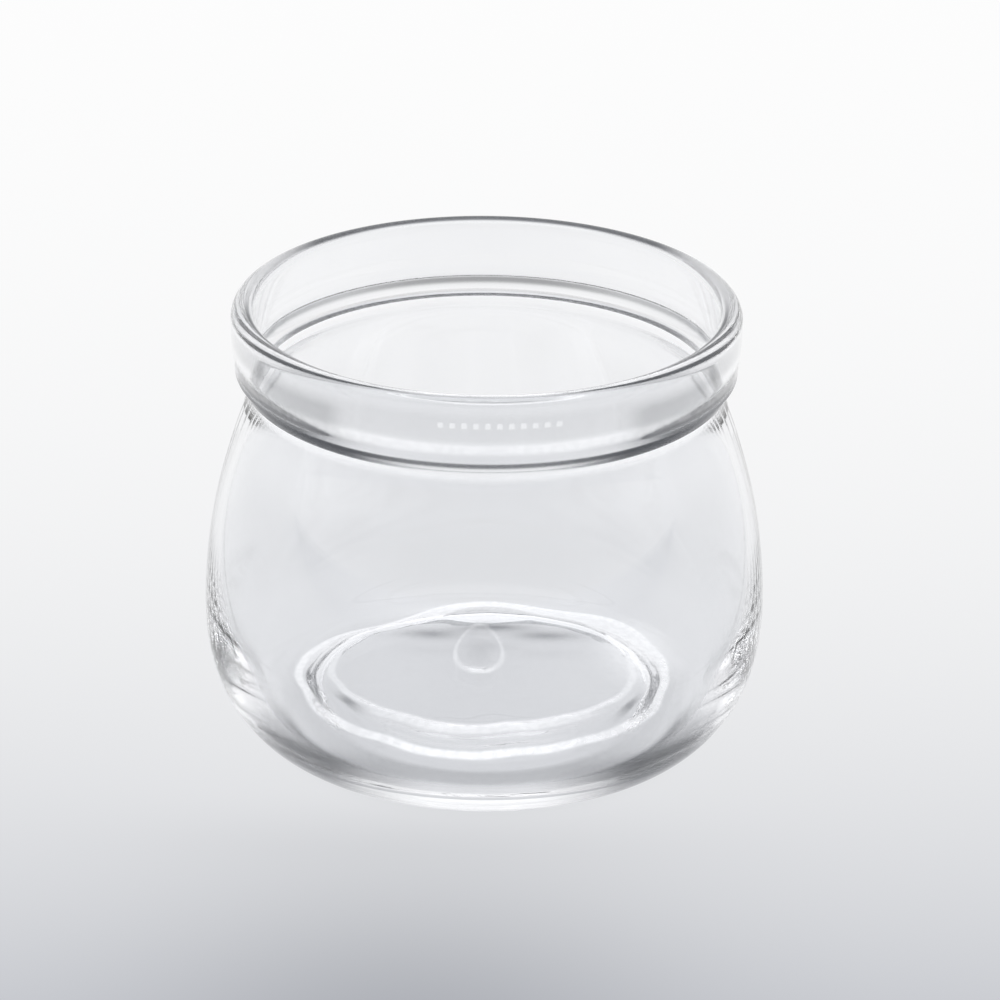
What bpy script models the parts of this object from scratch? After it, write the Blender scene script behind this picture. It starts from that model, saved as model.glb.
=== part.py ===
"""A wide-mouthed preserving jar of clear glass, empty and open, as one turned body.

Lengths are in metres. Radii are measured from the jar's axis, which is Z, and heights
from the surface that the jar stands on.
"""

import math

import bpy

# Outside of the jar
HEIGHT = 0.0892
BELLY_RADIUS = 0.055
BELLY_HEIGHT = 0.0265
FOOT_OUTER_RADIUS = 0.0386
FOOT_INNER_RADIUS = 0.0352
SHOULDER_RADIUS = 0.0485
SHOULDER_HEIGHT = 0.0638
SHOULDER_SLOPE = math.radians(18)
NECK_RADIUS = 0.0456
NECK_HEIGHT = 0.0713
NECK_SLOPE = math.radians(24)

# Band round the mouth, with a bead along its lower edge
BAND_TOP_RADIUS = 0.0494
BAND_EDGE_RADIUS = 0.0487
BAND_EDGE_HEIGHT = 0.0762
BEAD_STEP = 0.0004
BEAD_DROP = 0.0003
BEAD_LEAN = math.radians(20)
BAND_UNDER_RADIUS = 0.0459
BAND_UNDER_HEIGHT = 0.0730
LIP_INNER_DROP = 0.00225
LIP_OUTER_DROP = 0.0025
LIP_CREST_RADIUS = 0.04715
MOUTH_RADIUS = 0.0449

# Inside of the jar
INNER_BELLY_RADIUS = 0.0522
INNER_BELLY_HEIGHT = 0.0305
INNER_SHOULDER_RADIUS = 0.0458
BORE_RADIUS = 0.0434
BORE_HEIGHT = 0.0735
MOUTH_HEIGHT = 0.0800
FLOOR_HEIGHT = 0.0106
DOME_RADIUS = 0.0273
DOME_EDGE_HEIGHT = 0.0104
TROUGH_RADIUS = 0.0416
TROUGH_HEIGHT = 0.0068

# Hollow under the base
PUSH_UP_HEIGHT = 0.0046
PUSH_UP_RADIUS = 0.0296
PUSH_UP_STEP = 0.0043

# How far each bend keeps to its first heading and to its last
DOME_PULL = 0.0110
DOME_EDGE_PULL = 0.0047
TROUGH_PULL = 0.0039
CORNER_LOW_PULL = 0.0062
CORNER_HIGH_PULL = 0.0104
WALL_PULL = 0.0120
SHOULDER_PULL = 0.0030
MOUTH_PULL = 0.0025
LIP_PULL = 0.0020
BAND_PULL = 0.0035
BEAD_ROUND_SHARE = 0.55
BEAD_IN_SHARE = 0.45
NECK_PULL = 0.0004
NECK_OUT_PULL = 0.0025
BELLY_TOP_PULL = 0.0140
HEEL_HIGH_PULL = 0.0180
HEEL_LOW_PULL = 0.0063
FLANK_PULL = 0.0021
STEP_PULL = 0.0036
PUSH_UP_PULL = 0.0093
MIDDLE_PULL = 0.0100

# How many straight steps make each kind of bend
SHORT_STEPS = 3
MOUTH_STEPS = 4
WALL_STEPS = 5
BELLY_STEPS = 6
CORNER_STEPS = 7
HEEL_STEPS = 9

# The turned surface
SEGMENTS = 72
AXIS_MERGE = 0.00001

# Headings along the outline
DOME_FALL = math.radians(-7)
FLANK_RISE = math.radians(140)
PUSH_UP_RISE = math.radians(176)
OUT, UP, IN, DOWN = 0.0, math.radians(90), math.radians(180), math.radians(270)


def bend(start, heading, pull, end, end_heading, end_pull, steps):
    """Points of one smooth bend after its start, as (radius, height).

    Each heading is the way that the outline runs there, an angle from OUT towards UP, and each
    pull is how far the bend keeps to it.
    """
    corners = (
        start,
        (start[0] + pull * math.cos(heading), start[1] + pull * math.sin(heading)),
        (end[0] - end_pull * math.cos(end_heading), end[1] - end_pull * math.sin(end_heading)),
        end,
    )
    points = []
    for step in range(1, steps + 1):
        t = step / steps
        shares = ((1 - t) ** 3, 3 * t * (1 - t) ** 2, 3 * t * t * (1 - t), t ** 3)
        points.append(tuple(sum(s * c[axis] for s, c in zip(shares, corners)) for axis in (0, 1)))
    return points


def inside(detail):
    """From the middle of the floor out to the corner, and up the wall to the lip."""
    floor_middle = (0.0, FLOOR_HEIGHT)
    dome_edge = (DOME_RADIUS, DOME_EDGE_HEIGHT)
    trough = (TROUGH_RADIUS, TROUGH_HEIGHT)
    belly = (INNER_BELLY_RADIUS, INNER_BELLY_HEIGHT)
    shoulder = (INNER_SHOULDER_RADIUS, SHOULDER_HEIGHT)
    bore = (BORE_RADIUS, BORE_HEIGHT)
    mouth = (MOUTH_RADIUS, MOUTH_HEIGHT)
    lip_start = (MOUTH_RADIUS, HEIGHT - LIP_INNER_DROP)
    lean = UP + SHOULDER_SLOPE
    short = SHORT_STEPS * detail
    points = [floor_middle]
    points += bend(floor_middle, OUT, DOME_PULL, dome_edge, DOME_FALL, DOME_PULL, short)
    points += bend(dome_edge, DOME_FALL, DOME_EDGE_PULL, trough, OUT, TROUGH_PULL, short)
    points += bend(
        trough, OUT, CORNER_LOW_PULL, belly, UP, CORNER_HIGH_PULL, CORNER_STEPS * detail
    )
    points += bend(belly, UP, WALL_PULL, shoulder, lean, WALL_PULL, WALL_STEPS * detail)
    points += bend(shoulder, lean, SHOULDER_PULL, bore, UP, SHOULDER_PULL, short)
    points += bend(bore, UP, MOUTH_PULL, mouth, UP, MOUTH_PULL, MOUTH_STEPS * detail)
    points += bend(mouth, UP, LIP_PULL, lip_start, UP, LIP_PULL, detail)
    return points


def lip(detail):
    """Over the lip, from its inner side, over the crest and down to the band."""
    steps = MOUTH_STEPS * detail
    turns = [UP * step / steps for step in range(1, steps + 1)]
    rise = LIP_CREST_RADIUS - MOUTH_RADIUS
    fall = BAND_TOP_RADIUS - LIP_CREST_RADIUS
    points = []
    for turn in turns:
        radius = LIP_CREST_RADIUS - rise * math.cos(turn)
        points.append((radius, HEIGHT - LIP_INNER_DROP * (1 - math.sin(turn))))
    for turn in turns:
        radius = LIP_CREST_RADIUS + fall * math.sin(turn)
        points.append((radius, HEIGHT - LIP_OUTER_DROP * (1 - math.cos(turn))))
    return points


def outside(detail):
    """Down the band, round its bead and the neck, over the belly and the heel to the foot."""
    band_top = (BAND_TOP_RADIUS, HEIGHT - LIP_OUTER_DROP)
    band_edge = (BAND_EDGE_RADIUS, BAND_EDGE_HEIGHT)
    bead = (BAND_EDGE_RADIUS - BEAD_STEP, BAND_EDGE_HEIGHT - BEAD_DROP)
    under = (BAND_UNDER_RADIUS, BAND_UNDER_HEIGHT)
    neck = (NECK_RADIUS, NECK_HEIGHT)
    shoulder = (SHOULDER_RADIUS, SHOULDER_HEIGHT)
    belly = (BELLY_RADIUS, BELLY_HEIGHT)
    foot = (FOOT_OUTER_RADIUS, 0.0)
    lean = DOWN + SHOULDER_SLOPE
    neck_lean = DOWN + NECK_SLOPE
    round_down = BEAD_ROUND_SHARE * (bead[1] - under[1])
    round_in = BEAD_IN_SHARE * (bead[0] - under[0])
    short = SHORT_STEPS * detail
    points = bend(band_top, DOWN, BAND_PULL, band_edge, DOWN, BAND_PULL, short)
    points += [bead]
    points += bend(bead, DOWN - BEAD_LEAN, round_down, under, IN, round_in, MOUTH_STEPS * detail)
    points += bend(under, IN, NECK_PULL, neck, neck_lean, NECK_PULL, detail)
    points += bend(neck, neck_lean, NECK_OUT_PULL, shoulder, lean, NECK_OUT_PULL, short)
    points += bend(shoulder, lean, WALL_PULL, belly, DOWN, BELLY_TOP_PULL, BELLY_STEPS * detail)
    points += bend(belly, DOWN, HEEL_HIGH_PULL, foot, IN, HEEL_LOW_PULL, HEEL_STEPS * detail)
    return points


def underside(detail):
    """Across the foot and up into the hollow under the base, to the axis."""
    foot = (FOOT_INNER_RADIUS, 0.0)
    step_top = (PUSH_UP_RADIUS, PUSH_UP_STEP)
    middle = (0.0, PUSH_UP_HEIGHT)
    points = [foot]
    short = SHORT_STEPS * detail
    points += bend(foot, FLANK_RISE, FLANK_PULL, step_top, PUSH_UP_RISE, STEP_PULL, short)
    points += bend(step_top, PUSH_UP_RISE, PUSH_UP_PULL, middle, IN, MIDDLE_PULL, short)
    return points


def outline(detail=1):
    """The half section, closed on the axis at both ends, with the glass on its right."""
    return inside(detail) + lip(detail) + outside(detail) + underside(detail)


def clear_glass():
    """Clear glass with the faint cool tint that shows where it is thick."""
    material = bpy.data.materials.new("clear_glass")
    material.use_nodes = True
    shader = material.node_tree.nodes["Principled BSDF"]
    shader.inputs["Base Color"].default_value = (0.93, 0.96, 0.95, 1.0)
    shader.inputs["Metallic"].default_value = 0.0
    shader.inputs["Roughness"].default_value = 0.02
    shader.inputs["IOR"].default_value = 1.52
    shader.inputs["Transmission Weight"].default_value = 1.0
    return material


def make_jar():
    """The whole jar, turned from its half section."""
    section = [(radius, 0.0, height) for radius, height in outline()]
    mesh = bpy.data.meshes.new("jar_section")
    mesh.from_pydata(section, [(i, i + 1) for i in range(len(section) - 1)], [])
    mesh.materials.append(clear_glass())
    jar = bpy.data.objects.new("glass_jar", mesh)
    bpy.context.collection.objects.link(jar)
    turning = jar.modifiers.new("turning", "SCREW")
    turning.axis = "Z"
    turning.angle = math.radians(360)
    turning.screw_offset = 0.0
    turning.steps = SEGMENTS
    turning.render_steps = SEGMENTS
    turning.use_merge_vertices = True
    turning.merge_threshold = AXIS_MERGE
    turning.use_smooth_shade = True
    return jar


def main():
    for leftover in list(bpy.data.objects):
        bpy.data.objects.remove(leftover)
    make_jar()


main()
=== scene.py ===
"""The looks of an empty, wide-mouthed preserving jar of clear moulded glass.

Lengths are in metres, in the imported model's frame. Radii are measured from the jar's axis,
which is Z, and heights from the surface that the jar stands on.
"""

import math

import bpy
import numpy as np
from bpy.props import FloatProperty, FloatVectorProperty, IntProperty, PointerProperty
from mathutils import Matrix, Vector, noise


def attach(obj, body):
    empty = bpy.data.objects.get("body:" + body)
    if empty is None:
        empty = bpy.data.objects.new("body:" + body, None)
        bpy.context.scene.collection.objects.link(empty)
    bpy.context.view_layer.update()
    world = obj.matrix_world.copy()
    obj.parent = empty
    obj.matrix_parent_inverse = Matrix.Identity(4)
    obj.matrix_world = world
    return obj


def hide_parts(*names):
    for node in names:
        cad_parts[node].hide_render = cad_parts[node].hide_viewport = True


bl_info = {
    "name": "Preserving jar",
    "version": (1, 0, 0),
    "blender": (4, 5, 0),
    "location": "3D View > Sidebar > Preserving jar",
    "description": "Makes a clear glass preserving jar and the pale stage that it stands on",
    "category": "Add Mesh",
}

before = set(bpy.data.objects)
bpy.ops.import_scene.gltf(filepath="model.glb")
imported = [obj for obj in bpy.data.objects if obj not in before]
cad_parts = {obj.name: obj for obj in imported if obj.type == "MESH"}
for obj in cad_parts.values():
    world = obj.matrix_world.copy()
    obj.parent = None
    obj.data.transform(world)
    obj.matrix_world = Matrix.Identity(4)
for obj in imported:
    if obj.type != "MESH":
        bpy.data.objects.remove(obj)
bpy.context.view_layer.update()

# Outside of the jar
HEIGHT = 0.0892
BELLY_RADIUS = 0.055
BELLY_HEIGHT = 0.0265
FOOT_OUTER_RADIUS = 0.0386
FOOT_INNER_RADIUS = 0.0352
SHOULDER_RADIUS = 0.0485
SHOULDER_HEIGHT = 0.0638
NECK_RADIUS = 0.0456
NECK_HEIGHT = 0.0713

# Band round the mouth, with a bead along its lower edge
BAND_TOP_RADIUS = 0.0494
BAND_BULGE = 0.0002
BAND_EDGE_RADIUS = 0.0487
BAND_EDGE_HEIGHT = 0.0762
BEAD_STEP = 0.0004
BEAD_DROP = 0.0003
BEAD_LEAN = math.radians(20)
BAND_UNDER_RADIUS = 0.0459
BAND_UNDER_HEIGHT = 0.0730
LIP_CREST_RADIUS = 0.04715
LIP_INNER_DROP = 0.00225
LIP_OUTER_DROP = 0.0025
MOUTH_RADIUS = 0.0449

# Row of short raised bars on the front of the band
BARS_MIDDLE = 0.0026
BARS_HALF_ROW = 0.0122
BARS_SPACING = 0.0022
BARS_BOTTOM = 0.0832
BARS_TOP = 0.0847
BARS_EDGE = 0.0004
BARS_FRONT = (-0.0475, -0.0465)
BAR_SIDE = (0.18, 0.34)

# Inside of the jar
INNER_BELLY_RADIUS = 0.0522
INNER_BELLY_HEIGHT = 0.0305
INNER_SHOULDER_RADIUS = 0.0458
BORE_RADIUS = 0.0434
BORE_HEIGHT = 0.0735
MOUTH_HEIGHT = 0.0800
FLOOR_HEIGHT = 0.0106
DOME_RADIUS = 0.0273
DOME_EDGE_HEIGHT = 0.0104
TROUGH_RADIUS = 0.0416
TROUGH_HEIGHT = 0.0068

# Marks that the moulding leaves on the floor, as (middle, half size, height) and as a drop
FLOOR_SWELLS = (
    ((0.001, 0.031), (0.011, 0.010), 0.0012),
    ((-0.022, 0.027), (0.018, 0.013), -0.0010),
    ((-0.024, -0.016), (0.012, 0.008), 0.0005),
    ((0.026, -0.012), (0.010, 0.009), 0.0005),
)
DROP_MIDDLE = (-0.0010, 0.0090)
DROP_HALF_WIDTH = 0.0052
DROP_HALF_LENGTH = 0.0130
DROP_TAPER = 0.35
DROP_EDGE = 0.35
# Rim of the drop, frosted and with painted glow as a highlight
DROP_RIM = (0.76, 0.86, 0.90, 1.00)
DROP_RIM_WHITE = 0.45

# Uneven surface of the floor and the wall, as (scale, start, share) of each ripple
FLOOR_RIPPLES = ((60, 3.1, 1.0), (130, 9.7, 0.5))
FLOOR_MARGIN = 0.001
WAVE_SCALE = 45
WAVE_START = 0.012
WAVE_FADE = 0.01

# Hollow under the base
PUSH_UP_HEIGHT = 0.0046
PUSH_UP_RADIUS = 0.0296
PUSH_UP_STEP = 0.0043

# Headings along the outline
OUT, UP, IN, DOWN = 0.0, math.radians(90), math.radians(180), math.radians(270)
DOME_FALL = math.radians(-7)
SHOULDER_SLOPE = math.radians(18)
NECK_SLOPE = math.radians(24)
FLANK_RISE = math.radians(140)
PUSH_UP_RISE = math.radians(176)

# How far each bend keeps to its first heading and to its last
DOME_PULL = 0.0110
DOME_EDGE_PULL = 0.0047
TROUGH_PULL = 0.0039
CORNER_LOW_PULL = 0.0062
CORNER_HIGH_PULL = 0.0104
WALL_PULL = 0.0120
INNER_SHOULDER_PULL = 0.0030
MOUTH_PULL = 0.0025
LIP_PULL = 0.0020
BEAD_PULL = 0.0002
BEAD_ROUND_SHARE = 0.55
BEAD_IN_SHARE = 0.45
NECK_IN_PULL = 0.0003
NECK_DOWN_PULL = 0.0005
NECK_OUT_PULL = 0.0025
BELLY_TOP_PULL = 0.0140
HEEL_HIGH_PULL = 0.0180
HEEL_LOW_PULL = 0.0063
FLANK_PULL = 0.0021
STEP_PULL = 0.0036
PUSH_UP_PULL = 0.0093
MIDDLE_PULL = 0.0100

# How many straight steps make each kind of bend, before the detail multiplies them
FINE_STEPS = 2
SHORT_STEPS = 3
PUSH_UP_STEPS = 4
LIP_STEPS = 5
WALL_STEPS = 5
MOUTH_STEPS = 6
BELLY_STEPS = 6
TROUGH_STEPS = 12
CORNER_STEPS = 14
HEEL_STEPS = 18
DOME_STEPS = 22
ON_AXIS = 1e-9

# Where the skins of the glass begin, as radii
OUTER_SKIN = (0.0464, 0.0472)
INNER_SKIN = (0.0445, 0.0462)
STRIP_SKIN = (0.0456, 0.0463)
HEEL_SKIN = (0.0420, 0.0445)
EDGE_SKIN = (0.0460, 0.0480)
NECK_SKIN = (0.0452, 0.0458)
FRONT_HALF = (-0.010, 0.010)
LEAST_RADIUS = 0.00001

# The floor of the jar, as the heights where it begins and ends and the radii of its edge
FLOOR_FROM = (0.0055, 0.0062)
FLOOR_TO = (0.0130, 0.0140)
FLOOR_EDGE = (0.0435, 0.0445)

# Painted shade: thin dark lines on the glass, each from where it starts, through where it is full,
# to where it ends
LIP_RADII = (0.0455, 0.0462, 0.0482, 0.0488)
LIP_TOP = (0.0872, 0.0880)
LIP_ASIDE = (0.70, 0.92)
LIP_DARK = 0.92
LIP_ASIDE_FALL = 0.60
FRONT_LIP_RADII = (0.0457, 0.0460, 0.0465, 0.0469)
FRONT_LIP_TOP = (0.0875, 0.0883)
FRONT_LIP_ASIDE = (0.02, 0.30)
FRONT_LIP_DARK = 0.25
FRONT_LIP_RISE = 0.72
BEAD_LINE = (0.0744, 0.0752, 0.0756, 0.0764)
BEAD_LINE_DARK = 0.55
BEAD_LINE_RISE = 0.25
STRIP_LINE = (0.0722, 0.0730, 0.0754, 0.0763)
STRIP_ASIDE = (0.20, 0.60)
STRIP_DARK = 0.95
STRIP_END = (0.0722, 0.0735, 0.0766, 0.0780)
STRIP_END_ASIDE = (0.45, 0.75)
STRIP_END_DARK = 0.85
HEEL_LINE = (0.0010, 0.0030, 0.0065, 0.0110)
HEEL_LINE_ASIDE = (0.45, 0.66, 0.82, 0.95)
HEEL_LINE_DARK = 0.7
HEEL_SIDE = (0.0050, 0.0085, 0.0150, 0.0240)
HEEL_SIDE_ASIDE = (0.945, 0.990)
HEEL_SIDE_DARK = 0.3
BORE_LINE = (0.0742, 0.0747, 0.0748, 0.0753)
BORE_LINE_DARK = 0.2

# Painted shade: soft dark tones on the thick places of the glass
BEAD_TONE = (0.0722, 0.0730, 0.0752, 0.0766)
BEAD_TONE_ASIDE = (0.30, 0.90)
BEAD_TONE_DARK = 0.15
BEAD_TONE_RISE = 0.55
BEAD_TONE_BEHIND = 0.2
BAND_TONE = (0.0797, 0.0812, 0.0850, 0.0880)
BAND_TONE_DARK = 0.22
WEDGE_TONE = (0.0775, 0.0800, 0.0830, 0.0860)
WEDGE_ASIDE = (0.50, 0.62, 0.80, 0.90)
WEDGE_DARK = 0.5
TROUGH_TONE = (0.0375, 0.0392, 0.0420, 0.0445)
TROUGH_TOP = (0.010, 0.012)
TROUGH_ASIDE = (0.4, 0.9)
TROUGH_DARK = 0.55
TROUGH_ASIDE_FALL = 0.35
HEEL_TONE = (0.0008, 0.0025, 0.0085, 0.0165)
HEEL_ASIDE = (0.15, 0.58, 0.86, 0.97)
HEEL_RIGHT = (-0.02, 0.02)
HEEL_DARK = 0.7
HEEL_RIGHT_RISE = 0.15
SIDE_TONE = (0.012, 0.022, 0.056, 0.066)
SIDE_ASIDE = (0.30, 0.60, 0.90, 0.98)
SIDE_DARK = 0.05

# Painted shade: dark spots on the floor of the jar, as (middle, half size, darkness or radii)
FLOOR_SHADES = (
    ((-0.0108, 0.0160), (0.0065, 0.0030), 0.80),
    ((0.0020, 0.0192), (0.0075, 0.0024), 0.95),
    ((0.0127, 0.0150), (0.0075, 0.0026), 0.80),
    ((-0.0010, 0.0070), (0.0036, 0.0080), 0.25),
)
RING_SHADES = (
    ((-0.0270, -0.0175), (0.0040, 0.0045), (0.0308, 0.0316, 0.0326, 0.0334)),
    ((0.0294, -0.0170), (0.0040, 0.0045), (0.0328, 0.0336, 0.0342, 0.0350)),
)
RING_SHADE_DARK = 0.85

# What makes the rings of the floor uneven, as (middle, half size, shift) and as waves round them
RING_SHIFTS = (
    ((-0.0225, 0.0290), (0.0130, 0.0110), 0.0070),
    ((0.0010, 0.0400), (0.0110, 0.0120), -0.0035),
    ((0.0260, 0.0300), (0.0120, 0.0110), -0.0035),
)
RING_FRONT = (-0.036, -0.014)
RING_FRONT_SHIFT = 0.0028
RING_WAVES = ((5, 1, 1.0), (9, 2, 0.7), (17, 0, 0.5))
RING_WAVE_SHIFT = 0.00025

# Fine pressed rings on the floor, as (radius, share of the height)
DOME_RING = (0.0289, 0.0296, 0.0298, 0.0305)
FINE_RINGS = ((0.0330, 0.4), (0.0352, 0.5), (0.0372, 1.0), (0.0388, 0.8))
FINE_RING_HALF = 0.0008
FINE_RING_TOP = 0.0001

# Whitish bands on the floor, rough with frost and lit by painted glow as highlights
OUTER_BAND = (0.0363, 0.0369, 0.0381, 0.0388)
INNER_BAND = (0.0292, 0.0298, 0.0306, 0.0314)
INNER_BAND_WHITE = 0.55
MIDDLE_BAND = (0.0300, 0.0315, 0.0370, 0.0385)
MIDDLE_BAND_BEHIND = (-0.004, 0.016)
MIDDLE_BAND_WHITE = 0.75
FRONT_BAND = (0.0300, 0.0310, 0.0320, 0.0330)
FRONT_BAND_AHEAD = (-0.026, -0.018)
FRONT_BAND_WHITE = 0.6
# Painted highlights: white spots of glow on the floor
WHITE_SPOTS = (
    ((0.0310, 0.0110), (0.0060, 0.0150), 0.8),
    ((0.0000, 0.0345), (0.0120, 0.0045), 0.7),
)

# Painted highlights: glow on the front of the band and the neck
BAND_LIGHT = (0.0774, 0.0786, 0.0794, 0.0806)
BAND_LIGHT_WHITE = 0.6
NECK_LIGHT = (0.0708, 0.0716, 0.0720, 0.0727)
NECK_LIGHT_WHITE = 0.55

# Finish of the glass
# Colour that the painted shade mixes into the glass
PAINTED_SHADE_COLOUR = (0.06, 0.065, 0.075)
SMEAR_SCALE = 38.0
SMEAR_RANGE = (0.52, 0.72)
GRAIN_SCALE = 700.0
GRAIN_RANGE = (0.42, 0.58)
GRAIN_SHARE = 0.25
# Painted glow, as highlights on the frosted bands, the band, the neck and the bars
PAINTED_GLOW_STRENGTH = 0.34
BARS_HIGHLIGHT_SHARE = 0.4
# Metal that deepens the painted shade of the dark lines, and metal of the frost
LINE_SHADE_METAL = 0.85
FROST_METAL = 0.2
FROST_ROUGH = 0.3
SEAM_HALF_WIDTH = 0.0009
SEAM_TOP = (0.0690, 0.0710)
SEAM_BESIDE = (0.0462, 0.0470)
BUMP_DISTANCE = 0.001

# Floor of the stage, with a painted contact shadow round the jar and a painted shadow in front of
# it
FLOOR_REACH = 12.0
FLOOR_NEAREST = -0.19
CONTACT_SHADOW_RADII = (0.030, 0.046)
SHADOW_PATCH_MIDDLE = -0.012
SHADOW_PATCH_SPREAD = 0.0023
SHADOW_PATCH_NEAR = (-0.060, -0.030)
SHADOW_PATCH_FAR = (-0.125, -0.060)
SHADOW_PATCH_NEAR_SHARE = 0.5
SHADOW_PATCH_FAR_SHARE = 0.8
# Blue tint of the painted light fall towards the camera
FLOOR_GREEN = 0.006
FLOOR_BLUE = 0.022

# Light of the room, by the heading from the jar
ROOM_BEHIND_CAMERA = (-0.91, -0.17)
ROOM_OVERHEAD = (0.80, 0.94)
ROOM_BLUE = 1.01

# Camera
SENSOR_WIDTH = 36.0
LENS_PER_METRE = 183.45
CAMERA_SHIFT = (0.015, 0.01203)
CAMERA_AIM_HEIGHT = 0.045

# How often light may pass from glass to air and back
LIGHT_TURNS = 32


class JarShape(bpy.types.PropertyGroup):
    """How finely the jar is turned, and how uneven its glass is."""

    rounds: IntProperty(
        name="Rounds", description="Flat sides of the turned jar", default=256, min=32
    )
    detail: IntProperty(
        name="Detail", description="Points along each bend of the section", default=4, min=1
    )
    floor_swell: FloatProperty(
        name="Floor swell",
        description="Height of the uneven swells on the floor of the jar",
        default=0.00035,
        subtype="DISTANCE",
        unit="LENGTH",
    )
    wall_swell: FloatProperty(
        name="Wall swell",
        description="Depth of the shallow waves on the inner wall",
        default=0.00003,
        subtype="DISTANCE",
        unit="LENGTH",
    )
    ring_height: FloatProperty(
        name="Ring height",
        description="Height of the fine pressed rings on the floor",
        default=0.00007,
        subtype="DISTANCE",
        unit="LENGTH",
    )
    drop_height: FloatProperty(
        name="Drop height",
        description="Height of the drop-shaped mark that the gather leaves on the floor",
        default=0.00045,
        subtype="DISTANCE",
        unit="LENGTH",
    )


class JarGlass(bpy.types.PropertyGroup):
    """The finish of the glass."""

    tint: FloatVectorProperty(
        name="Tint",
        description="Colour of the glass",
        default=(0.965, 0.97, 0.98),
        min=0.0,
        max=1.0,
        subtype="COLOR",
    )
    ior: FloatProperty(
        name="Refractive index", description="How strongly the glass bends light", default=1.52
    )
    smear: FloatProperty(
        name="Smear",
        description="Roughness of the faint smears of handling",
        default=0.03,
        subtype="FACTOR",
    )
    # Strength of the painted shade in the glass's colour and metal
    tone: FloatProperty(
        name="Tone",
        description="Darkness of the glass at its thick places and sharp bends",
        default=1.0,
        subtype="FACTOR",
    )
    bars: FloatProperty(
        name="Bars",
        description="Depth of the row of short raised bars on the band",
        default=0.18,
        subtype="FACTOR",
    )
    # Whiteness of the bands: rough frost with painted glow as highlights
    frost_and_glow: FloatProperty(
        name="Frost",
        description="Whiteness of the pressed bands on the floor of the jar",
        default=0.9,
        subtype="FACTOR",
    )
    seam_height: FloatProperty(
        name="Seam height",
        description="Height of the two seams that the mould leaves",
        default=0.00006,
        subtype="DISTANCE",
        unit="LENGTH",
    )


class JarStage(bpy.types.PropertyGroup):
    """The pale floor, the light round it and the camera."""

    floor_white: FloatProperty(
        name="Floor white", description="Brightness of the floor far behind the jar", default=0.985
    )
    floor_dark: FloatProperty(
        name="Floor dark", description="Least brightness of the floor", default=0.30
    )
    # Painted light fall: the floor's glow darkens towards the camera
    painted_floor_fall: FloatProperty(
        name="Floor fall",
        description="How much darker the floor is beside the jar than far behind it",
        default=0.176,
    )
    floor_reach: FloatProperty(
        name="Floor reach",
        description="Distance over which the floor darkens towards the camera",
        default=0.145,
        subtype="DISTANCE",
        unit="LENGTH",
    )
    # Painted shadow on the floor in front of the jar
    shadow_patch: FloatProperty(
        name="Patch", description="How much darker the floor is in front of the jar", default=0.21
    )
    # Painted contact shadow on the floor under the jar
    contact_shadow: FloatProperty(
        name="Contact", description="How much darker the floor is under the jar", default=0.12
    )
    room_light: FloatProperty(
        name="Room light", description="Brightness of the light behind", default=0.98
    )
    top_light: FloatProperty(
        name="Top light", description="Brightness of the light overhead", default=1.6
    )
    room_dark: FloatProperty(
        name="Room dark", description="Brightness on the camera's side", default=0.22
    )
    camera_distance: FloatProperty(
        name="Camera distance",
        description="Distance from the camera to the middle of the jar",
        default=1.0,
        subtype="DISTANCE",
        unit="LENGTH",
    )
    camera_tilt: FloatProperty(
        name="Camera angle",
        description="How far the camera looks down",
        default=math.radians(23.84),
        subtype="ANGLE",
        unit="ROTATION",
    )
    camera_roll: FloatProperty(
        name="Camera roll",
        description="How far the camera leans to one side",
        default=math.radians(0.55),
        subtype="ANGLE",
        unit="ROTATION",
    )


class Value:
    """A socket of a material, so that shader maths reads as plain expressions."""

    def __init__(self, tree, socket):
        self.tree = tree
        self.socket = socket

    def combine(self, operation, *operands):
        node = self.tree.nodes.new("ShaderNodeMath")
        node.operation = operation
        for slot, operand in zip(node.inputs, operands):
            if isinstance(operand, Value):
                self.tree.links.new(operand.socket, slot)
            else:
                slot.default_value = operand
        return Value(self.tree, node.outputs[0])

    def __add__(self, other):
        return self.combine("ADD", self, other)

    def __sub__(self, other):
        return self.combine("SUBTRACT", self, other)

    def __rsub__(self, other):
        return self.combine("SUBTRACT", other, self)

    def __mul__(self, other):
        return self.combine("MULTIPLY", self, other)

    def __truediv__(self, other):
        return self.combine("DIVIDE", self, other)

    def __abs__(self):
        return self.combine("ABSOLUTE", self)

    __radd__ = __add__
    __rmul__ = __mul__

    def root(self):
        return self.combine("SQRT", self)

    def exponent(self):
        return self.combine("EXPONENT", self)

    def at_least(self, low):
        return self.combine("MAXIMUM", self, low)

    def smooth(self, low, high):
        """Rises smoothly from 0 at low to 1 at high."""
        node = self.tree.nodes.new("ShaderNodeMapRange")
        node.interpolation_type = "SMOOTHSTEP"
        self.tree.links.new(self.socket, node.inputs["Value"])
        node.inputs["From Min"].default_value = low
        node.inputs["From Max"].default_value = high
        return Value(self.tree, node.outputs["Result"])

    def between(self, start, low, high, end):
        """Rises smoothly from start to low, stays at 1 to high and falls to 0 at end."""
        return self.smooth(start, low) * (1 - self.smooth(high, end))


class Finish:
    """A material or world that is made of nodes."""

    def __init__(self, tree):
        self.tree = tree

    def node(self, kind, settings=None, **sockets):
        """A node of one kind, with its settings first and then its sockets."""
        made = self.tree.nodes.new(kind)
        for name, setting in (settings or {}).items():
            setattr(made, name, setting)
        for name, value in sockets.items():
            slot = made.inputs[name.replace("_", " ")]
            if isinstance(value, Value):
                self.tree.links.new(value.socket, slot)
            else:
                slot.default_value = value
        return made

    def value(self, node, output):
        return Value(self.tree, node.outputs[output])


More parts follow.
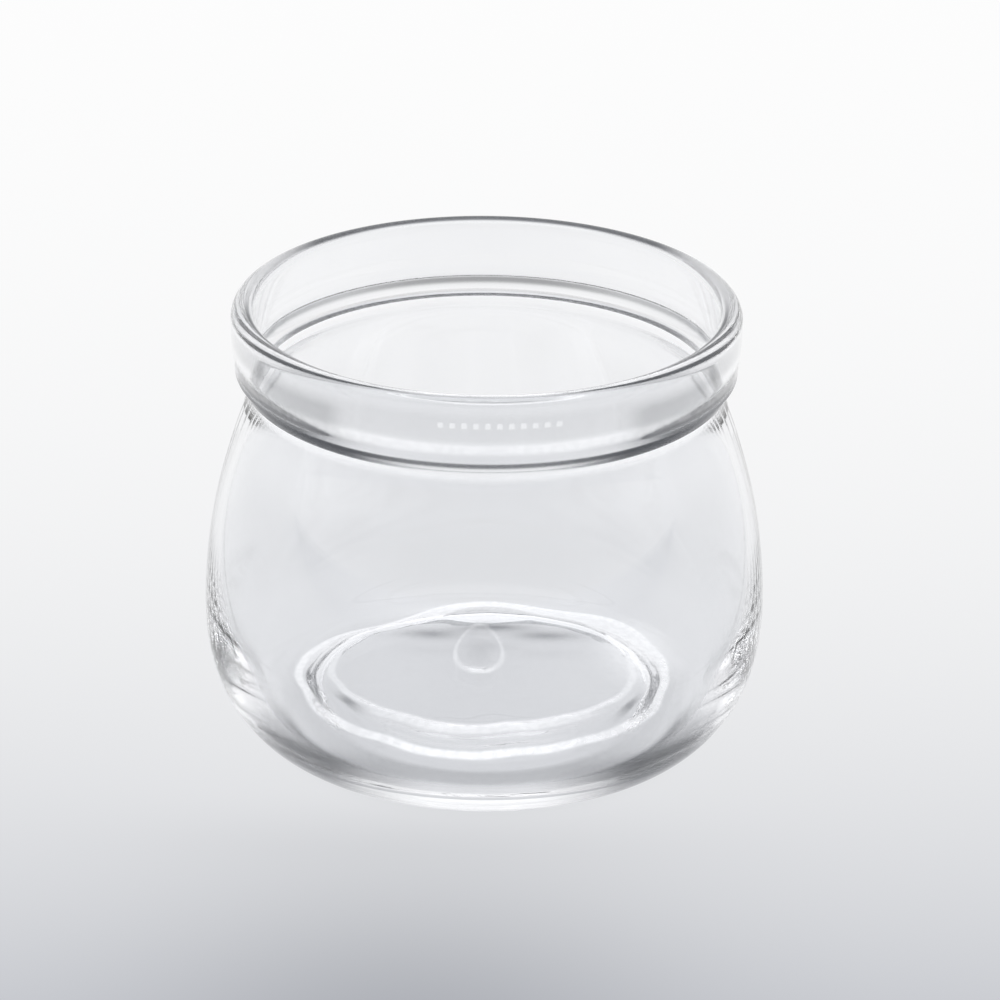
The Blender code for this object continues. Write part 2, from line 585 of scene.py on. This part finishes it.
class Points(np.ndarray):
    """One number for each point of the jar, for the marks that are worked out on its mesh."""

    def root(self):
        return np.sqrt(self)

    def exponent(self):
        return np.exp(self)

    def smooth(self, low, high):
        share = np.clip((self - low) / (high - low), 0.0, 1.0)
        return share * share * (3 - 2 * share)

    def between(self, start, low, high, end):
        return self.smooth(start, low) * (1 - self.smooth(high, end))


def bend(start, heading, pull, end, end_heading, end_pull, steps):
    """Points of one smooth bend after its start, as (radius, height)."""
    corners = (
        start,
        (start[0] + pull * math.cos(heading), start[1] + pull * math.sin(heading)),
        (end[0] - end_pull * math.cos(end_heading), end[1] - end_pull * math.sin(end_heading)),
        end,
    )
    points = []
    for step in range(1, steps + 1):
        t = step / steps
        shares = ((1 - t) ** 3, 3 * t * (1 - t) ** 2, 3 * t * t * (1 - t), t ** 3)
        points.append(tuple(sum(s * c[axis] for s, c in zip(shares, corners)) for axis in (0, 1)))
    return points


def inside(detail):
    """From the middle of the floor out to the corner, and up the wall to the lip."""
    floor_middle = (0.0, FLOOR_HEIGHT)
    dome_edge = (DOME_RADIUS, DOME_EDGE_HEIGHT)
    trough = (TROUGH_RADIUS, TROUGH_HEIGHT)
    belly = (INNER_BELLY_RADIUS, INNER_BELLY_HEIGHT)
    shoulder = (INNER_SHOULDER_RADIUS, SHOULDER_HEIGHT)
    bore = (BORE_RADIUS, BORE_HEIGHT)
    mouth = (MOUTH_RADIUS, MOUTH_HEIGHT)
    lip_start = (MOUTH_RADIUS, HEIGHT - LIP_INNER_DROP)
    lean = UP + SHOULDER_SLOPE
    points = [floor_middle]
    steps = DOME_STEPS * detail
    points += bend(floor_middle, OUT, DOME_PULL, dome_edge, DOME_FALL, DOME_PULL, steps)
    steps = TROUGH_STEPS * detail
    points += bend(dome_edge, DOME_FALL, DOME_EDGE_PULL, trough, OUT, TROUGH_PULL, steps)
    steps = CORNER_STEPS * detail
    points += bend(trough, OUT, CORNER_LOW_PULL, belly, UP, CORNER_HIGH_PULL, steps)
    points += bend(belly, UP, WALL_PULL, shoulder, lean, WALL_PULL, WALL_STEPS * detail)
    steps = SHORT_STEPS * detail
    points += bend(shoulder, lean, INNER_SHOULDER_PULL, bore, UP, INNER_SHOULDER_PULL, steps)
    points += bend(bore, UP, MOUTH_PULL, mouth, UP, MOUTH_PULL, MOUTH_STEPS * detail)
    points += bend(mouth, UP, LIP_PULL, lip_start, UP, LIP_PULL, FINE_STEPS * detail)
    return points


def lip(detail):
    """Over the lip, from its inner side, over the crest and down to the band."""
    steps = LIP_STEPS * detail
    turns = [UP * step / steps for step in range(1, steps + 1)]
    rise = LIP_CREST_RADIUS - MOUTH_RADIUS
    fall = BAND_TOP_RADIUS - LIP_CREST_RADIUS
    points = [
        (LIP_CREST_RADIUS - rise * math.cos(t), HEIGHT - LIP_INNER_DROP * (1 - math.sin(t)))
        for t in turns
    ]
    points += [
        (LIP_CREST_RADIUS + fall * math.sin(t), HEIGHT - LIP_OUTER_DROP * (1 - math.cos(t)))
        for t in turns
    ]
    return points


def outside(detail):
    """Down the band, round its bead and the neck, over the belly and the heel to the foot."""
    band_top = (BAND_TOP_RADIUS, HEIGHT - LIP_OUTER_DROP)
    band_edge = (BAND_EDGE_RADIUS, BAND_EDGE_HEIGHT)
    half_fall = (band_top[1] - BAND_EDGE_HEIGHT) / 2
    band_middle = ((BAND_TOP_RADIUS + BAND_EDGE_RADIUS) / 2 + BAND_BULGE, band_top[1] - half_fall)
    band_lean = DOWN - math.atan2(BAND_TOP_RADIUS - BAND_EDGE_RADIUS, 2 * half_fall)
    bead = (BAND_EDGE_RADIUS - BEAD_STEP, BAND_EDGE_HEIGHT - BEAD_DROP)
    under = (BAND_UNDER_RADIUS, BAND_UNDER_HEIGHT)
    neck = (NECK_RADIUS, NECK_HEIGHT)
    shoulder = (SHOULDER_RADIUS, SHOULDER_HEIGHT)
    belly = (BELLY_RADIUS, BELLY_HEIGHT)
    foot = (FOOT_OUTER_RADIUS, 0.0)
    lean = DOWN + SHOULDER_SLOPE
    neck_lean = DOWN + NECK_SLOPE
    bead_lean = DOWN - BEAD_LEAN
    pull = half_fall / 3
    edge_pull = BEAD_ROUND_SHARE * BEAD_DROP
    round_down = BEAD_ROUND_SHARE * (bead[1] - under[1])
    round_in = BEAD_IN_SHARE * (bead[0] - under[0])
    fine = FINE_STEPS * detail
    points = bend(band_top, DOWN, pull, band_middle, band_lean, pull, LIP_STEPS * detail)
    points += bend(band_middle, band_lean, pull, band_edge, DOWN, pull, MOUTH_STEPS * detail)
    points += bend(band_edge, DOWN, edge_pull, bead, bead_lean, BEAD_PULL, fine)
    points += bend(bead, bead_lean, round_down, under, IN, round_in, LIP_STEPS * detail)
    points += bend(under, IN, NECK_IN_PULL, neck, neck_lean, NECK_DOWN_PULL, fine)
    steps = SHORT_STEPS * detail
    points += bend(neck, neck_lean, NECK_OUT_PULL, shoulder, lean, NECK_OUT_PULL, steps)
    steps = BELLY_STEPS * detail
    points += bend(shoulder, lean, WALL_PULL, belly, DOWN, BELLY_TOP_PULL, steps)
    points += bend(belly, DOWN, HEEL_HIGH_PULL, foot, IN, HEEL_LOW_PULL, HEEL_STEPS * detail)
    return points


def underside(detail):
    """Across the foot and up into the hollow under the base, to the axis."""
    foot = (FOOT_INNER_RADIUS, 0.0)
    step_top = (PUSH_UP_RADIUS, PUSH_UP_STEP)
    middle = (0.0, PUSH_UP_HEIGHT)
    points = [foot]
    steps = SHORT_STEPS * detail
    points += bend(foot, FLANK_RISE, FLANK_PULL, step_top, PUSH_UP_RISE, STEP_PULL, steps)
    steps = PUSH_UP_STEPS * detail
    points += bend(step_top, PUSH_UP_RISE, PUSH_UP_PULL, middle, IN, MIDDLE_PULL, steps)
    return points


def swell_at(x, y, middle, half):
    """A smooth round swell, 1 in its middle and 0 beyond its edge."""
    away = ((x - middle[0]) / half[0]) ** 2 + ((y - middle[1]) / half[1]) ** 2
    return (1 - away) ** 2 if away < 1 else 0.0


def drop_at(x, y):
    """1 on the drop-shaped mark on the floor, narrow behind, falling to 0 round its edge."""
    along = (y - DROP_MIDDLE[1]) / DROP_HALF_LENGTH
    width = DROP_HALF_WIDTH * (1 - DROP_TAPER * max(-1.0, min(1.0, along)))
    away = math.hypot((x - DROP_MIDDLE[0]) / width, along)
    share = max(0.0, min(1.0, (1 - away) / DROP_EDGE))
    return share * share * (3 - 2 * share)


def floor_lift(x, y, shape):
    """How far the floor of the jar stands above its turned form at one place."""
    radius = math.hypot(x, y)
    if radius > TROUGH_RADIUS:
        return 0.0
    fade = 1 - (radius / TROUGH_RADIUS) ** 4
    ripple = 0.0
    for scale, start, share in FLOOR_RIPPLES:
        ripple += share * noise.noise(Vector((x * scale, y * scale, start)))
    lift = shape.floor_swell * ripple * fade
    for middle, half, height in FLOOR_SWELLS:
        lift += height * swell_at(x, y, middle, half) * fade
    return lift + shape.drop_height * drop_at(x, y)


def turn(section, inner_count, shape):
    """The vertices and faces of the jar, turned from its half section."""
    rounds = shape.rounds
    vertices = []
    faces = []
    rings = []
    for index, (radius, height) in enumerate(section):
        if radius < ON_AXIS:
            lift = floor_lift(0.0, 0.0, shape) if index == 0 else 0.0
            rings.append([len(vertices)] * rounds)
            vertices.append((0.0, 0.0, height + lift))
            continue
        ring = []
        for step in range(rounds):
            angle = 2 * math.pi * step / rounds
            x, y, z = radius * math.cos(angle), radius * math.sin(angle), height
            if index < inner_count:
                z += floor_lift(x, y, shape) if height < FLOOR_HEIGHT + FLOOR_MARGIN else 0.0
                wave = shape.wall_swell * noise.noise(Vector((x, y, z)) * WAVE_SCALE)
                wave *= min(1.0, max(0.0, (height - WAVE_START) / WAVE_FADE))
                x += wave * math.cos(angle)
                y += wave * math.sin(angle)
            ring.append(len(vertices))
            vertices.append((x, y, z))
        rings.append(ring)
    for lower, upper in zip(rings, rings[1:]):
        for step in range(rounds):
            after = (step + 1) % rounds
            corners = [lower[after], lower[step], upper[step], upper[after]]
            faces.append(list(dict.fromkeys(corners)))
    return vertices, faces


def link(thing):
    bpy.context.scene.collection.objects.link(thing)
    return thing


def painted_shade_lines(z, radius, aside, ahead):
    """Painted shade in thin dark lines at the lip, the edge of the band, the heel and the bore,
    from 0 to 1.
    """
    outer = radius.smooth(*OUTER_SKIN)
    inner = 1 - radius.smooth(*INNER_SKIN)
    lip = radius.between(*LIP_RADII) * z.smooth(*LIP_TOP)
    lip = lip * (1 - ahead) * (LIP_DARK - aside.smooth(*LIP_ASIDE) * LIP_ASIDE_FALL)
    lip_front = radius.between(*FRONT_LIP_RADII) * z.smooth(*FRONT_LIP_TOP)
    rise = aside.smooth(*FRONT_LIP_ASIDE) * FRONT_LIP_RISE
    lip_front = lip_front * ahead * (rise + FRONT_LIP_DARK)
    bead = z.between(*BEAD_LINE) * outer * (BEAD_LINE_DARK + ahead * BEAD_LINE_RISE)
    strip = z.between(*STRIP_LINE) * radius.smooth(*STRIP_SKIN)
    strip = strip * aside.smooth(*STRIP_ASIDE) * ahead * STRIP_DARK
    heel = z.between(*HEEL_LINE) * radius.smooth(*HEEL_SKIN)
    heel = heel * aside.between(*HEEL_LINE_ASIDE) * ahead * HEEL_LINE_DARK
    edge = z.between(*HEEL_SIDE) * radius.smooth(*EDGE_SKIN)
    edge = edge * aside.smooth(*HEEL_SIDE_ASIDE) * ahead * HEEL_SIDE_DARK
    ends = z.between(*STRIP_END) * outer * aside.smooth(*STRIP_END_ASIDE)
    ends = ends * (ahead * 2).clip(0.0, 1.0) * STRIP_END_DARK
    bore = z.between(*BORE_LINE) * inner * (1 - ahead) * BORE_LINE_DARK
    return merge(lip, lip_front, bead, strip, heel, edge, ends, bore)


def painted_soft_shade(x, z, radius, aside, ahead):
    """Painted shade on the thick places of the glass, from 0 to 1."""
    outer = radius.smooth(*OUTER_SKIN)
    bead = z.between(*BEAD_TONE) * outer
    bead = bead * (aside.smooth(*BEAD_TONE_ASIDE) * BEAD_TONE_RISE + BEAD_TONE_DARK)
    bead = bead * (ahead * (1 - BEAD_TONE_BEHIND) + BEAD_TONE_BEHIND)
    band = z.between(*BAND_TONE) * outer * ahead * BAND_TONE_DARK
    wedge = z.between(*WEDGE_TONE) * outer * ahead
    wedge = wedge * aside.between(*WEDGE_ASIDE) * WEDGE_DARK
    trough = radius.between(*TROUGH_TONE) * (1 - z.smooth(*TROUGH_TOP))
    trough = trough * z.smooth(*FLOOR_FROM) * ahead
    trough = trough * (TROUGH_DARK - aside.smooth(*TROUGH_ASIDE) * TROUGH_ASIDE_FALL)
    heel = z.between(*HEEL_TONE) * radius.smooth(*HEEL_SKIN)
    heel = heel * aside.between(*HEEL_ASIDE) * ahead
    heel = heel * (x.smooth(*HEEL_RIGHT) * HEEL_RIGHT_RISE + HEEL_DARK)
    sides = aside.between(*SIDE_ASIDE) * z.between(*SIDE_TONE) * SIDE_DARK
    return merge(bead, band, wedge, trough, heel, sides)


def merge(*tones):
    """Tones that lie over each other, as one."""
    light = 1 - tones[0]
    for tone in tones[1:]:
        light = light * (1 - tone)
    return 1 - light


def spot(x, y, middle, half):
    """A soft round spot, 1 in its middle."""
    across = (x - middle[0]) / half[0]
    along = (y - middle[1]) / half[1]
    return ((across * across + along * along) * -1.0).exponent()


def floor_share(z, radius):
    """1 on the floor of the jar, 0 elsewhere."""
    share = z.smooth(*FLOOR_FROM) * (1 - z.smooth(*FLOOR_TO))
    return share * (1 - radius.smooth(*FLOOR_EDGE))


def dented(x, y, radius):
    """The radius on the floor as its uneven rings see it, with their dent behind."""
    turned = np.arctan2(y, x)
    uneven = sum(np.sin(turned * count + start) * share for count, start, share in RING_WAVES)
    shift = (1 - y.smooth(*RING_FRONT)) * RING_FRONT_SHIFT + uneven * RING_WAVE_SHIFT
    for middle, half, push in RING_SHIFTS:
        shift = shift + spot(x, y, middle, half) * push
    return radius + shift


def floor_rings(z, radius, around):
    """The fine pressed rings on the floor of the jar, as a height from 0 to 1."""
    rings = around.between(*DOME_RING)
    for middle, height in FINE_RINGS:
        low, high = middle - FINE_RING_TOP, middle + FINE_RING_TOP
        ring = around.between(middle - FINE_RING_HALF, low, high, middle + FINE_RING_HALF)
        rings = rings + ring * height
    return rings * floor_share(z, radius)


def frosted_and_glowing_bands(x, y, z, radius, around):
    """The whitish bands round the floor and the rim of the drop-shaped mark, frosted and with
    painted glow as highlights, from 0 to 1.
    """
    outer = around.between(*OUTER_BAND)
    inner = around.between(*INNER_BAND) * INNER_BAND_WHITE
    behind = y.smooth(*MIDDLE_BAND_BEHIND)
    between = around.between(*MIDDLE_BAND) * behind * MIDDLE_BAND_WHITE
    front = around.between(*FRONT_BAND) * (1 - y.smooth(*FRONT_BAND_AHEAD)) * FRONT_BAND_WHITE
    along = (y - DROP_MIDDLE[1]) / DROP_HALF_LENGTH
    width = (1 - along * DROP_TAPER) * DROP_HALF_WIDTH
    across = (x - DROP_MIDDLE[0]) / width
    away = (across * across + along * along).root()
    drop = away.between(*DROP_RIM) * DROP_RIM_WHITE
    spots = [spot(x, y, middle, half) * white for middle, half, white in WHITE_SPOTS]
    return merge(outer, inner, between, front, drop, *spots) * floor_share(z, radius)


def painted_rim_highlights(z, radius, ahead):
    """Painted highlights as glow on the front of the band and the neck, from 0 to 1."""
    band = z.between(*BAND_LIGHT) * BAND_LIGHT_WHITE
    neck = z.between(*NECK_LIGHT) * NECK_LIGHT_WHITE
    return merge(band, neck) * radius.smooth(*NECK_SKIN) * ahead


def painted_floor_shade(x, y, z, radius):
    """Painted shade in dark spots beside the drop-shaped mark and along the inner ring, from 0 to
    1.
    """
    shades = [spot(x, y, middle, half) * dark for middle, half, dark in FLOOR_SHADES]
    for middle, half, radii in RING_SHADES:
        shades.append(spot(x, y, middle, half) * radius.between(*radii) * RING_SHADE_DARK)
    return merge(*shades) * floor_share(z, radius)


def raised_bars(x, y, z):
    """A row of short plain raised bars on the front of the band, from 0 to 1."""
    along = (x - BARS_MIDDLE) / BARS_SPACING
    nearest = abs(along - along.combine("ROUND", along))
    beyond = abs(x - BARS_MIDDLE).smooth(BARS_HALF_ROW - BARS_EDGE, BARS_HALF_ROW)
    bars = (1 - nearest.smooth(*BAR_SIDE)) * (1 - beyond)
    bars = bars * z.between(BARS_BOTTOM, BARS_BOTTOM + BARS_EDGE, BARS_TOP - BARS_EDGE, BARS_TOP)
    return bars * (1 - y.smooth(*BARS_FRONT))


def glass_finish(glass):
    """Clear glass with faint smears, mould seams, raised bars, and the painted shade and painted
    highlights stored on its mesh.
    """
    material = bpy.data.materials.new("clear_glass_looks")
    material.use_nodes = True
    finish = Finish(material.node_tree)
    shader = material.node_tree.nodes["Principled BSDF"]
    place = finish.node("ShaderNodeTexCoord")
    where = finish.value(place, "Object")
    parts = finish.node("ShaderNodeSeparateXYZ", Vector=where)
    x, y, z = (finish.value(parts, axis) for axis in "XYZ")
    marks = {}
    for mark in ("lines", "tones", "frost_and_glow"):
        stored = finish.node("ShaderNodeAttribute", {"attribute_name": mark})
        marks[mark] = finish.value(stored, "Fac")
    clouds = finish.node("ShaderNodeTexNoise", Vector=where, Scale=SMEAR_SCALE, Detail=1.0)
    smears = finish.value(clouds, "Fac").smooth(*SMEAR_RANGE)
    speckle = finish.node("ShaderNodeTexNoise", Vector=where, Scale=GRAIN_SCALE, Detail=0.0)
    grain = finish.value(speckle, "Fac").smooth(*GRAIN_RANGE)
    frost_and_glow = marks["frost_and_glow"] * (grain * GRAIN_SHARE + (1 - GRAIN_SHARE)) * glass.frost_and_glow
    bars = raised_bars(x, y, z)
    seams = (1 - abs(y).smooth(0.0, SEAM_HALF_WIDTH)) * (1 - z.smooth(*SEAM_TOP))
    seams = seams * abs(x).smooth(*SEAM_BESIDE)
    height = seams * (glass.seam_height / BUMP_DISTANCE) + bars * glass.bars
    bump = finish.node("ShaderNodeBump", Height=height, Distance=BUMP_DISTANCE, Strength=1.0)
    # Painted shade: the lines and tones mix the tint towards a dark colour and make the glass
    # partly metal
    tint_with_painted_shade = finish.node("ShaderNodeMix", {"data_type": "RGBA"})
    # Painted highlights: the frosted bands, the rim and the bars glow
    glow = (frost_and_glow + bars * BARS_HIGHLIGHT_SHARE) * PAINTED_GLOW_STRENGTH
    painted_highlight_colour = finish.node("ShaderNodeCombineColor", Red=glow, Green=glow, Blue=glow)
    tones = merge(marks["lines"], marks["tones"]) * glass.tone
    metal = merge(marks["lines"] * glass.tone * LINE_SHADE_METAL, frost_and_glow * FROST_METAL)
    rough = smears * glass.smear + frost_and_glow * FROST_ROUGH
    tree = material.node_tree
    tree.links.new(tones.socket, tint_with_painted_shade.inputs["Factor"])
    tint_with_painted_shade.inputs[6].default_value = (*glass.tint, 1.0)
    tint_with_painted_shade.inputs[7].default_value = (*PAINTED_SHADE_COLOUR, 1.0)
    tree.links.new(tint_with_painted_shade.outputs[2], shader.inputs["Base Color"])
    tree.links.new(bump.outputs["Normal"], shader.inputs["Normal"])
    tree.links.new(metal.socket, shader.inputs["Metallic"])
    tree.links.new(rough.socket, shader.inputs["Roughness"])
    tree.links.new(painted_highlight_colour.outputs[0], shader.inputs["Emission Color"])
    shader.inputs["Emission Strength"].default_value = 1.0
    shader.inputs["IOR"].default_value = glass.ior
    shader.inputs["Transmission Weight"].default_value = 1.0
    return material


def mark_mesh(mesh, vertices):
    """Store on each point its painted shade, as lines and tones, and how frosted it is, with its
    painted glow.
    """
    x, y, z = np.array(vertices).T.view(Points)
    radius = np.maximum((x * x + y * y).root(), LEAST_RADIUS)
    aside = abs(x) / radius
    ahead = 1 - y.smooth(*FRONT_HALF)
    around = dented(x, y, radius)
    marks = {
        "lines": painted_shade_lines(z, radius, aside, ahead),
        "tones": merge(painted_soft_shade(x, z, radius, aside, ahead), painted_floor_shade(x, y, z, radius)),
        "frost_and_glow": merge(frosted_and_glowing_bands(x, y, z, radius, around), painted_rim_highlights(z, radius, ahead)),
    }
    for name, mark in marks.items():
        stored = mesh.attributes.new(name, "FLOAT", "POINT")
        stored.data.foreach_set("value", np.asarray(mark, dtype=np.float32))


def press_rings(vertices, shape):
    """Raise the fine pressed rings on the floor of the jar."""
    places = np.array(vertices)
    x, y, z = places.T.copy().view(Points)
    radius = np.maximum((x * x + y * y).root(), LEAST_RADIUS)
    rings = floor_rings(z, radius, dented(x, y, radius))
    places[:, 2] += np.asarray(rings) * shape.ring_height
    return places


class JAR_OT_glass(bpy.types.Operator):
    """Make the jar in clear glass, in place of its plain solid"""

    bl_idname = "jar.glass"
    bl_label = "Glass jar"

    def execute(self, context):
        shape = context.scene.jar_shape
        inner = inside(shape.detail)
        section = inner + lip(shape.detail) + outside(shape.detail) + underside(shape.detail)
        vertices, faces = turn(section, len(inner), shape)
        vertices = press_rings(vertices, shape)
        mesh = bpy.data.meshes.new("jar_glass")
        mesh.from_pydata(vertices, [], faces)
        mark_mesh(mesh, vertices)
        mesh.shade_smooth()
        mesh.materials.append(glass_finish(context.scene.jar_glass))
        jar = link(bpy.data.objects.new("jar_glass", mesh))
        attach(jar, "root")
        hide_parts("glass_jar")
        return {"FINISHED"}


def floor_finish(stage):
    """A pale glowing floor with painted light fall towards the camera, a painted contact shadow
    under the jar and a painted shadow in front of it.
    """
    material = bpy.data.materials.new("pale_floor")
    material.use_nodes = True
    finish = Finish(material.node_tree)
    shader = material.node_tree.nodes["Principled BSDF"]
    place = finish.node("ShaderNodeTexCoord")
    parts = finish.node("ShaderNodeSeparateXYZ", Vector=finish.value(place, "Object"))
    x, y = finish.value(parts, "X"), finish.value(parts, "Y")
    # Painted light fall, darker towards the camera
    painted_falloff = (y.at_least(FLOOR_NEAREST) / -stage.floor_reach).exponent()
    away = (x * x + y * y).root()
    # Painted contact shadow under the jar
    under = (1 - away.smooth(*CONTACT_SHADOW_RADII)) * stage.contact_shadow
    # Painted shadow in front of the jar
    beside = x - SHADOW_PATCH_MIDDLE
    middle = (beside * beside / -SHADOW_PATCH_SPREAD).exponent()
    near = (1 - y.smooth(*SHADOW_PATCH_NEAR)) * SHADOW_PATCH_NEAR_SHARE
    near = near + (1 - y.smooth(*SHADOW_PATCH_FAR)) * SHADOW_PATCH_FAR_SHARE
    shadow_patch = middle * near * stage.shadow_patch
    glow = (stage.floor_white - painted_falloff * stage.painted_floor_fall).at_least(stage.floor_dark)
    glow = glow * (1 - under) * (1 - shadow_patch)
    green, blue = glow + painted_falloff * FLOOR_GREEN, glow + painted_falloff * FLOOR_BLUE
    shade = finish.node("ShaderNodeCombineColor", Red=glow, Green=green, Blue=blue)
    material.node_tree.links.new(shade.outputs[0], shader.inputs["Emission Color"])
    shader.inputs["Emission Strength"].default_value = 1.0
    shader.inputs["Base Color"].default_value = (0.0, 0.0, 0.0, 1.0)
    shader.inputs["Roughness"].default_value = 1.0
    shader.inputs["Specular IOR Level"].default_value = 0.0
    return material


def soft_room(stage):
    """Soft light from behind and overhead, falling away on the camera's side."""
    world = bpy.data.worlds.new("soft_room")
    world.use_nodes = True
    finish = Finish(world.node_tree)
    place = finish.node("ShaderNodeTexCoord")
    parts = finish.node("ShaderNodeSeparateXYZ", Vector=finish.value(place, "Generated"))
    y, z = finish.value(parts, "Y"), finish.value(parts, "Z")
    fading = y.smooth(*ROOM_BEHIND_CAMERA)
    overhead = z.smooth(*ROOM_OVERHEAD) * (stage.top_light - stage.room_light)
    light = (stage.room_light - stage.room_dark) * fading + stage.room_dark + overhead
    blue = light * ROOM_BLUE
    shade = finish.node("ShaderNodeCombineColor", Red=light, Green=light, Blue=blue)
    world.node_tree.links.new(
        shade.outputs[0], world.node_tree.nodes["Background"].inputs["Color"]
    )
    return world


class JAR_OT_stage(bpy.types.Operator):
    """Make the pale floor, the soft light and the camera"""

    bl_idname = "jar.stage"
    bl_label = "Stage"

    def execute(self, context):
        scene = context.scene
        stage = scene.jar_stage
        mesh = bpy.data.meshes.new("pale_floor")
        signs = ((-1, -1), (1, -1), (1, 1), (-1, 1))
        corners = [(along * FLOOR_REACH, across * FLOOR_REACH, 0) for along, across in signs]
        mesh.from_pydata(corners, [], [(0, 1, 2, 3)])
        mesh.materials.append(floor_finish(stage))
        link(bpy.data.objects.new("pale_floor", mesh))
        scene.world = soft_room(stage)
        scene.view_settings.view_transform = "Standard"
        scene.cycles.max_bounces = LIGHT_TURNS
        scene.cycles.transmission_bounces = LIGHT_TURNS
        scene.cycles.glossy_bounces = LIGHT_TURNS
        self.make_camera(scene, stage)
        return {"FINISHED"}

    def make_camera(self, scene, stage):
        lens = bpy.data.cameras.new("camera")
        lens.sensor_width = SENSOR_WIDTH
        lens.lens = LENS_PER_METRE * stage.camera_distance
        lens.shift_x, lens.shift_y = CAMERA_SHIFT
        camera = link(bpy.data.objects.new("camera", lens))
        tilt = stage.camera_tilt
        place = Vector((0, -math.cos(tilt), math.sin(tilt))) * stage.camera_distance
        turn_down = Matrix.Rotation(math.pi / 2 - tilt, 4, "X")
        roll = Matrix.Rotation(stage.camera_roll, 4, "Z")
        place += Vector((0, 0, CAMERA_AIM_HEIGHT))
        camera.matrix_world = Matrix.Translation(place) @ turn_down @ roll
        scene.camera = camera


class JAR_PT_panel(bpy.types.Panel):
    """The pieces of the preserving jar"""

    bl_label = "Preserving jar"
    bl_idname = "JAR_PT_panel"
    bl_space_type = "VIEW_3D"
    bl_region_type = "UI"
    bl_category = "Preserving jar"

    def draw(self, context):
        for operator, group in (("jar.glass", "jar_shape"), ("jar.stage", "jar_stage")):
            self.layout.operator(operator)
            settings = getattr(context.scene, group)
            for name in settings.__annotations__:
                self.layout.prop(settings, name)
        for name in context.scene.jar_glass.__annotations__:
            self.layout.prop(context.scene.jar_glass, name)


CLASSES = (JarShape, JarGlass, JarStage, JAR_OT_glass, JAR_OT_stage, JAR_PT_panel)


def register():
    for cls in CLASSES:
        bpy.utils.register_class(cls)
    bpy.types.Scene.jar_shape = PointerProperty(type=JarShape)
    bpy.types.Scene.jar_glass = PointerProperty(type=JarGlass)
    bpy.types.Scene.jar_stage = PointerProperty(type=JarStage)


def unregister():
    del bpy.types.Scene.jar_stage
    del bpy.types.Scene.jar_glass
    del bpy.types.Scene.jar_shape
    for cls in reversed(CLASSES):
        bpy.utils.unregister_class(cls)


def main():
    register()
    bpy.ops.jar.glass()
    bpy.ops.jar.stage()


if __name__ == "__main__":
    main()
